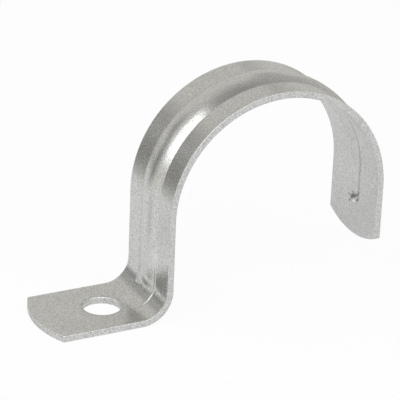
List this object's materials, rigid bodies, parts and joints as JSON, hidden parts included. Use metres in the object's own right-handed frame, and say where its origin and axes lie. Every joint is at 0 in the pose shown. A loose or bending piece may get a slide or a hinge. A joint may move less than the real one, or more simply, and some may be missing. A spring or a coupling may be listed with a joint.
{
  "type": "conduit strap",
  "caption": "Pressed steel strap that clamps a round conduit under its saddle and screws down through a flat foot.",
  "frame": {"origin": "centre of the screw hole on the foot's mounting face", "axes": "+X from the foot towards the saddle, +Y along the conduit, +Z away from the mounting surface"},
  "size_m": [0.0997, 0.025, 0.0632],
  "materials": {
    "zinc_steel": "zinc plated, dull silver with a fine grain"
  },
  "bodies": {
    "root": {"conduit_strap": "zinc_steel"}
  },
  "joints": []
}
